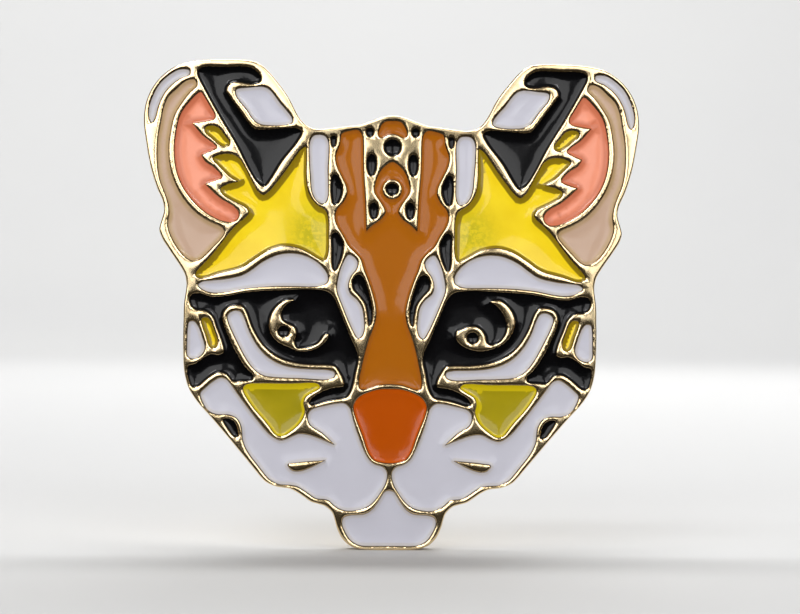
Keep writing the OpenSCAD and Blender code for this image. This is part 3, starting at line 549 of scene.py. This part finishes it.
shank_r, groove_r = 0.55, 0.38
foot_thick, foot_round = 0.3, 0.16
fillet_out, fillet_up = 0.42, 0.5
groove_spans = ((4.2, 5.0), (6.4, 7.0))
point_length, blunt_r = 1, 0.06
for side in ("left", "right"):
    low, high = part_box("post_" + side)
    foot_r, tip_y = (high.x - low.x) * 500, high.y * 1000
    sweep = np.linspace(0, math.pi / 2, 7)
    foot_edge = np.stack([foot_r - foot_round * (1 - np.cos(sweep)),
                          foot_thick - foot_round + foot_round * np.sin(sweep)], 1)
    fillet = np.stack([shank_r + fillet_out * (1 - np.sin(sweep)), foot_thick + fillet_up * (1 - np.cos(sweep))], 1)
    profile = [(0, 0), (foot_r - 0.05, 0), (foot_r, 0.05), *foot_edge, *fillet]
    for start, end in groove_spans:
        going_in = [(shank_r, -0.03), (shank_r - 0.03, 0), (groove_r + 0.02, 0.09), (groove_r, 0.13)]
        profile += [(radius, start + y) for radius, y in going_in]
        profile += [(radius, end - y) for radius, y in going_in[::-1]]
    share = np.linspace(0, 1, 8)
    cone = np.stack([blunt_r + (shank_r - blunt_r) * (1 - share**1.15), tip_y - point_length + 0.94 * share], 1)
    profile += [(shank_r, tip_y - point_length - 0.08), *cone, (0.03, tip_y - 0.015), (0, tip_y)]
    post = forge("needle_post_" + side, [turned(profile, middle_of("post_" + side))], post_metal)
    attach(post, "badge")
    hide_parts("post_" + side)


# ---- Clutch discs ----
# The flat foot of a butterfly clutch, stamped in brass sheet with a pressed ring for stiffness and its edge rolled
# over outwards. It rests on the back of the cloth, and the post goes through its middle.
clutch_metal = gold("clutch_brass", colour(246, 226, 170), colour(232, 206, 140), 0.24, 0.3, 0.001)
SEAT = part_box("clutch_disc_left")[0].y * 1000  # the disc's underside, in mm behind the plate's back
SHEET = 0.3  # the brass sheet's thickness
BORE = 0.62  # the radius of the hole for the post
roll = 0.42  # the radius of the rolled edge
bead_r, bead_half, bead_height = 4.4, 0.25, 0.08  # the pressed ring
for side in ("left", "right"):
    low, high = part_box("clutch_disc_" + side)
    roll_r = (high.x - low.x) * 500 - roll
    radius = np.concatenate([
        [BORE + 0.05], np.linspace(1.2, 4.1, 4), np.linspace(bead_r - bead_half, bead_r + bead_half, 9), [4.75]
    ])
    bead = bead_height * np.cos(np.clip((radius - bead_r) / bead_half, -1, 1) * math.pi / 2) ** 2
    under = np.stack([radius, SEAT + bead], 1)
    over = np.stack([radius, SEAT + SHEET + bead], 1)[::-1]
    turn = np.linspace(-math.pi / 2, math.pi + math.asin((roll - SHEET) / roll), 22)
    rolled = np.stack([roll_r + roll * np.cos(turn), SEAT + roll + roll * np.sin(turn)], 1)
    lip = [(BORE, SEAT + SHEET - 0.05), (BORE, SEAT + 0.05), (BORE + 0.05, SEAT)]
    disc = forge("clutch_foot_" + side,
                 [turned([*under, *rolled, *over, *lip], middle_of("clutch_disc_" + side), 96)], clutch_metal)
    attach(disc, side + "_clutch_base")
    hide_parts("clutch_disc_" + side)


# ---- Clutch housings ----
# A small square cup drawn from the same sheet, crimped to the disc by its flange, with a hole in its top for the
# post and a slot in each side that a wing rocks in.
def evenly(low, high, count):
    """Evenly spaced numbers from low up to, but without, high."""
    return np.linspace(low, high, count, endpoint=False)


# Half of one turn round the cup: the side with a slot, a corner, the side without one, and a corner. Each column is
# a point on the core, a rectangle between the corners' centres, and the direction outward from there.
core_x, core_z, slot_z = 1.85, 1.9, 1.77
slot_count, corner_count, plain_count = 12, 8, 10
ones = np.ones(corner_count)
quarter = evenly(0, math.pi / 2, corner_count)
side_z = np.concatenate([[-core_z], np.linspace(-slot_z, slot_z, slot_count + 1)])
along_x = evenly(core_x, -core_x, plain_count)
core = np.concatenate([
    np.stack([np.full(len(side_z), core_x), side_z], 1), np.stack([ones * core_x, ones * core_z], 1),
    np.stack([along_x, np.full(plain_count, core_z)], 1), np.stack([-ones * core_x, ones * core_z], 1),
])
outward = np.concatenate([
    np.tile([1, 0], (len(side_z), 1)), np.stack([np.cos(quarter), np.sin(quarter)], 1),
    np.tile([0, 1], (plain_count, 1)), np.stack([-np.sin(quarter), np.cos(quarter)], 1),
])
core, outward = np.concatenate([core, -core]), np.concatenate([outward, -outward])
columns = len(core)


def cup_rows(profile, centre):
    """Rings of a square cup with rounded corners: each (radius, y, share) gives a ring at that distance outside the
    core, and share takes it towards a circle of the bore's radius."""
    rows = []
    for radius, y, share in profile:
        square = core + outward * radius
        round_bore = square / np.linalg.norm(square, axis=1)[:, None] * BORE
        rows.append(at_depth(centre + square + (round_bore - square) * share, y))
    return rows


flange_r, flange_thick = 1.25, 0.24
wall_r, lining_r, crown_r = 0.8, 0.5, 0.46  # outside and inside the wall, and where the crown's bend ends
flange_bend, crown_bend = 0.14, 0.34
rock_y, slot_half = 1.9, 0.22  # the slot's middle above the seat, and half its height
for side in ("left", "right"):
    low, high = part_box("clutch_housing_" + side)
    foot, crown = low.y * 1000, high.y * 1000
    shelf, ceiling = foot + flange_thick, crown - SHEET
    slot_low, slot_high = SEAT + rock_y - slot_half, SEAT + rock_y + slot_half
    bend = np.linspace(0, math.pi / 2, 7)
    outer = [(flange_r - 0.04, foot, 0), (flange_r, foot + 0.04, 0), (flange_r, shelf - 0.04, 0),
             (flange_r - 0.05, shelf, 0),
             *[(wall_r + flange_bend * (1 - math.sin(b)), shelf + flange_bend * (1 - math.cos(b)), 0) for b in bend],
             (wall_r, slot_low, 0), (wall_r, slot_high, 0),
             *[(wall_r - crown_bend * (1 - math.cos(b)), crown - crown_bend * (1 - math.sin(b)), 0) for b in bend],
             (crown_r, crown, 0.3), (crown_r, crown, 0.65), (crown_r, crown, 0.95), (crown_r, crown - 0.04, 1)]
    inner = [(0.2, ceiling + 0.04, 1), (0.2, ceiling, 0.96), (0.2, ceiling, 0.5), (0.3, ceiling, 0),
             (lining_r - 0.06, ceiling - 0.05, 0), (lining_r, ceiling - 0.16, 0), (lining_r, slot_high, 0),
             (lining_r, slot_low, 0), (lining_r, foot + 0.1, 0), (lining_r + 0.06, foot, 0)]
    cup, walls = skin(cup_rows(outer + inner + outer[:1], middle_of("clutch_housing_" + side)))

    # The slots: their faces are taken out of both walls, and a ledge, a lintel and two jambs join the walls there.
    out_low = outer.index((wall_r, slot_low, 0))
    in_high = len(outer) + inner.index((lining_r, slot_high, 0))
    walls = walls.reshape(-1, columns, 4)
    parts = []
    for first in (1, 1 + columns // 2):
        across = np.arange(first, first + slot_count)
        walls[out_low, across] = walls[in_high, across] = 0
        out_row, in_row = out_low * columns, in_high * columns
        ledge = np.stack([out_row + across, out_row + across + 1,
                          in_row + columns + across + 1, in_row + columns + across], 1)
        lintel = np.stack([out_row + columns + across + 1, out_row + columns + across,
                           in_row + across, in_row + across + 1], 1)
        a, b = first, first + slot_count
        jambs = [[out_row + b, out_row + columns + b, in_row + b, in_row + columns + b],
                 [out_row + columns + a, out_row + a, in_row + columns + a, in_row + a]]
        parts += [ledge, lintel, np.array(jambs)]
    walls = walls.reshape(-1, 4)
    walls = np.concatenate([walls[walls.any(1)], *parts])
    housing = forge("clutch_cup_" + side, [(cup, walls)], clutch_metal)
    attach(housing, side + "_clutch_top")
    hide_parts("clutch_housing_" + side)


# ---- Clutch springs ----
# A piece of hard steel wire bent to a long U, shut inside the cup, whose legs press the jaws of the two wings
# against the post.
wire_metal = gold("spring_steel", colour(214, 212, 208), colour(190, 188, 184), 0.22, 0.15, 0.001)


def wire(path, radius, y, steps=14):
    """A round wire along an (x, z) path at a height y: rings set square to it, with a domed end at each end."""
    along = np.gradient(path, axis=0)
    along /= np.linalg.norm(along, axis=1)[:, None]
    dome = np.sin(np.linspace(0, math.pi / 2, 5))[:-1]
    size = np.concatenate([dome, np.ones(len(path)), dome[::-1]]) * radius
    lead = np.sqrt(np.maximum(radius**2 - size**2, 0))
    lead[: len(size) // 2] *= -1
    pad = len(dome)
    path, along = np.pad(path, ((pad, pad), (0, 0)), "edge"), np.pad(along, ((pad, pad), (0, 0)), "edge")
    path = path + along * lead[:, None]
    turn = evenly(0, 2 * math.pi, steps)
    across = np.stack([-along[:, 1], along[:, 0]], 1)
    side_step = size[:, None] * np.cos(turn)
    ring_x, ring_z = path[:, :1] + across[:, :1] * side_step, path[:, 1:] + across[:, 1:] * side_step
    return skin(np.stack([ring_x, y + size[:, None] * np.sin(turn), ring_z], 2))


bend_r = 0.5  # of the wire's middle, at the two corners of the U
for side in ("left", "right"):
    low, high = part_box("clutch_spring_" + side)
    wire_r = (high.y - low.y) * 500
    half_x, centre = (high.x - low.x) * 500 - wire_r, middle_of("clutch_spring_" + side)
    z_low, z_high = low.z * 1000 + wire_r, high.z * 1000 - wire_r
    bend = np.linspace(math.pi, math.pi / 2, 8)
    leg = np.stack([np.full(8, -half_x), np.linspace(z_low, z_high - bend_r - 0.1, 8)], 1)
    turned_leg = np.stack([-half_x + bend_r + bend_r * np.cos(bend), z_high - bend_r + bend_r * np.sin(bend)], 1)
    halfway = np.concatenate([leg, turned_leg])
    path = np.concatenate([halfway, halfway[::-1] * [-1, 1]]) + [centre[0], 0]
    spring = forge("clutch_wire_" + side, [wire(path, wire_r, (low.y + high.y) * 500)], wire_metal)
    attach(spring, side + "_clutch_top")
    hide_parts("clutch_spring_" + side)


# ---- Clutch wings ----
# Two strips of spring-hard brass sheet. Each goes in through its slot, where it rocks, and ends in a jaw with a
# half-round notch that grips the post. Outside it turns up into a finger tab, and squeezing the tabs together
# draws the jaws apart.
NOTCH_R = 0.6  # the half-round notch that grips the post
NECK, TAB = 1.7, 0.9  # half the strip's width, and what the tab adds to it
TAB_FROM, TAB_GROWS = 2.5, 0.45  # the height where the tab begins, and over which it widens
TAB_CORNER = 1.2
RIB_UP, RIB_HALF, RIB_DEEP = 4.55, 0.35, 0.07  # the pressed rib's height up the tab, half its width, and its depth
EDGE_ROUND = 0.12


def wing(profile, post_x, direction):
    """A strip of sheet carried along an (x, y) profile whose bends are rounded, as a grid: u along it and v
    across it. Its start follows the notch and its width widens from the neck to the tab, whose corners are round.
    The two skins are half the sheet's thickness either side, and meet at the edge in a half round."""
    for _ in range(3):
        cut_in = profile[:-1] * 0.75 + profile[1:] * 0.25
        cut_out = profile[:-1] * 0.25 + profile[1:] * 0.75
        profile = np.concatenate([profile[:1], np.stack([cut_in, cut_out], 1).reshape(-1, 2), profile[-1:]])
    length = np.concatenate([[0], np.cumsum(np.linalg.norm(np.diff(profile, axis=0), axis=1))])
    end = length[-1]
    ease = 1 - np.cos(np.linspace(0, math.pi / 2, 5))
    v = np.concatenate([ease * 0.07, np.linspace(0.1, 0.9, 27), 1 - ease[::-1] * 0.07]) * 2 - 1
    u = np.concatenate([ease * 0.02, np.linspace(0.03, 0.97, 60), 1 - ease[::-1] * 0.02])
    start = np.sqrt(np.maximum(NOTCH_R**2 - (v * NECK) ** 2, 0))
    start = np.maximum(start - profile[0, 0], 0)
    s = start + (end - start) * u[:, None]
    height = np.interp(s, length, profile[:, 1])
    shoulder = np.clip((height - TAB_FROM) / TAB_GROWS, 0, 1)
    half = NECK + TAB * shoulder**2 * (3 - 2 * shoulder)
    in_corner = np.maximum(TAB_CORNER - (end - s), 0)
    half = half - (TAB_CORNER - np.sqrt(TAB_CORNER**2 - in_corner**2)) * 0.999
    z = half * v
    rib = np.cos(np.clip((height - RIB_UP) / RIB_HALF, -1, 1) * math.pi / 2) ** 2
    rib *= np.clip((NECK - abs(z)) / 0.3, 0, 1)
    inset = np.minimum(np.minimum(half - abs(z), s - start), end - s)
    thick = SHEET / 2 * np.sqrt(1 - (1 - np.clip(inset / EDGE_ROUND, 0, 1)) ** 2)
    slope = np.stack([np.gradient(profile[:, 0], length), np.gradient(profile[:, 1], length)], 1)
    slope /= np.linalg.norm(slope, axis=1)[:, None]
    nx, ny = -np.interp(s, length, slope[:, 1]), np.interp(s, length, slope[:, 0])
    skins = []
    for way in (1, -1):
        shift = thick * way - RIB_DEEP * rib
        x = np.interp(s, length, profile[:, 0]) + nx * shift
        skins.append(np.stack([post_x + direction * x, SEAT + height + ny * shift, z], 2))
    front, faces = skin(skins[0], closed=False)
    rear, rear_faces = skin(skins[1], closed=False)
    return [(front, faces), (rear, rear_faces[:, ::-1])]


# The wing's side view, (distance from the post, height above the seat), from the jaw out to the tip of its tab
wing_line = np.array([(0.1, 0.95), (1.0, 0.95), (1.3, 1.06), (1.95, 1.78), (2.15, 1.9), (2.3, 1.9), (3.0, 1.9),
                      (3.75, 2.4), (4.2, 3.4), (4.5, 4.6), (4.85, 5.6), (5.3, 6.05)])
for side in ("left", "right"):
    post_x, post_z = middle_of("post_" + side)
    for letter, direction in (("a", 1), ("b", -1)):
        parts = wing(wing_line, post_x, direction)
        parts = [(points + [0, 0, post_z], faces) for points, faces in parts]
        tab = forge(f"clutch_tab_{letter}_{side}", parts, clutch_metal, crease=50)
        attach(tab, f"{side}_wing_{letter}")
        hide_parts(f"clutch_wing_{letter}_{side}")


# ---- Studio ----
# A plain pale sheet of paper that the pin stands on, curving up behind it. Two large soft boxes in front are mirrored
# by the flat metal at the sides, and the gap between them leaves the crown darker. The other lamps give the edges
# their highlights and light the paper.
ground = cad_low.z


def sheet(name, rows, finish):
    """A sheet of the studio's through rows of (x, y, z) points, in metres, with z counted from the ground."""
    points, faces = skin(rows, closed=False)
    data = bpy.data.meshes.new(name)
    data.from_pydata((points + [0, 0, ground]).tolist(), [], faces.tolist())
    data.shade_smooth()
    data.materials.append(finish)
    made = bpy.data.objects.new(name, data)
    bpy.context.scene.collection.objects.link(made)
    return made


def lamp(name, place, size, watts, target=aim):
    """A soft lamp of that (width, height) that faces the pin, or another target."""
    light = bpy.data.lights.new(name, "AREA")
    light.shape = "RECTANGLE"
    light.size, light.size_y = size
    light.energy = watts
    made = bpy.data.objects.new(name, light)
    made.location = place
    made.rotation_mode = "QUATERNION"
    made.rotation_quaternion = (target - Vector(place)).to_track_quat("-Z", "Y")
    bpy.context.scene.collection.objects.link(made)


paper_half, paper_front, paper_back, paper_top = 1.6, -1.2, 1.05, 1.6
rise = np.linspace(0, math.pi / 2, 24)
sweep_y = np.concatenate([[paper_front, 0.3], 0.55 + 0.5 * np.sin(rise), [paper_back]])
sweep_z = np.concatenate([[0, 0], 0.5 * (1 - np.cos(rise)), [paper_top]])
pale, tree, principled = shader("pale_paper", Roughness=0.7)
tone = ramp(tree, grain(tree, 300).outputs["Fac"], [(0.3, colour(196, 196, 196)), (0.7, colour(199, 199, 198))])
tree.links.new(tone, principled.inputs["Base Color"])
paper_rows = np.stack([np.stack([np.full_like(sweep_y, x), sweep_y, sweep_z], 1) for x in (-paper_half, paper_half)], 1)
paper_sweep = sheet("paper_sweep", paper_rows, pale)

# (name, place, size, watts, target)
lamp("left_box", (-0.215, -0.47, 0.205), (0.40, 0.39), 1.2, Vector((-0.215, 0, 0.205)))
lamp("right_box", (0.243, -0.47, 0.205), (0.358, 0.39), 1.0, Vector((0.243, 0, 0.205)))
lamp("left_strip", (-0.17, -0.40, 0.26), (0.12, 0.03), 0.14)
lamp("right_strip", (0.20, -0.40, 0.24), (0.12, 0.03), 0.12)
lamp("key", (-0.12, -0.16, 0.34), (0.14, 0.10), 0.4)
lamp("back", (0.10, 0.34, 0.30), (0.3, 0.3), 0.7)
lamp("paper_light", (0.0, 0.30, 0.90), (0.9, 0.3), 12.0, Vector((0.0, 0.95, 0.25)))

# A dark card lies on the paper in front of the pin. It is seen only in reflections, where it paints a dark reflection
# into the low metal and the black enamel and keeps them deep.
card_half, card_near, card_far, card_lift = 0.5, -0.005, -1.15, 0.0004
card_shade, tree, principled = shader("dark_reflection_card", Roughness=1.0, Specular_IOR_Level=0.0)
tone = ramp(tree, grain(tree, 50).outputs["Fac"], [(0.3, colour(44, 41, 36)), (0.7, colour(50, 47, 42))])
tree.links.new(tone, principled.inputs["Base Color"])
card_rows = [[(x, y, card_lift) for x in (-card_half, card_half)] for y in (card_near, card_far)]
dark_card = sheet("dark_card", card_rows, card_shade)
dark_card.visible_camera = dark_card.visible_diffuse = dark_card.visible_shadow = False

# A pale screen stands far off at each end of the paper. It glows, and its glow carries a painted shade, darker towards
# its foot as the far paper is. Only the camera sees them, so they change no light.
screen_x, screen_pale_z = 1.55, 0.3
for side, place in (("left", -screen_x), ("right", screen_x)):
    glow, tree, principled = shader("pale_glow_" + side, Roughness=1.0, Specular_IOR_Level=0.0, Emission_Strength=1.0)
    principled.inputs["Base Color"].default_value = (0, 0, 0, 1)
    above = add(tree, "SeparateXYZ", {"Vector": add(tree, "TexCoord").outputs["Object"]}).outputs["Z"]
    share = add(tree, "MapRange", {"Value": above, "From Min": ground, "From Max": screen_pale_z}).outputs[0]
    tone = ramp(tree, share, [(0.0, colour(116, 116, 117)), (1.0, colour(214, 214, 214))])
    tree.links.new(tone, principled.inputs["Emission Color"])
    screen_rows = [[(place, y, z) for y in (paper_front, paper_back)] for z in (0, paper_top)]
    pale_screen = sheet("pale_screen_" + side, screen_rows, glow)
    pale_screen.visible_diffuse = pale_screen.visible_glossy = pale_screen.visible_shadow = False
    pale_screen.visible_transmission = False

world = bpy.data.worlds.new("studio")
world.use_nodes = True
world.node_tree.nodes["Background"].inputs["Color"].default_value = (0.9, 0.9, 0.91, 1)
world.node_tree.nodes["Background"].inputs["Strength"].default_value = 0.2
bpy.context.scene.world = world
bpy.context.scene.view_settings.view_transform = "Standard"
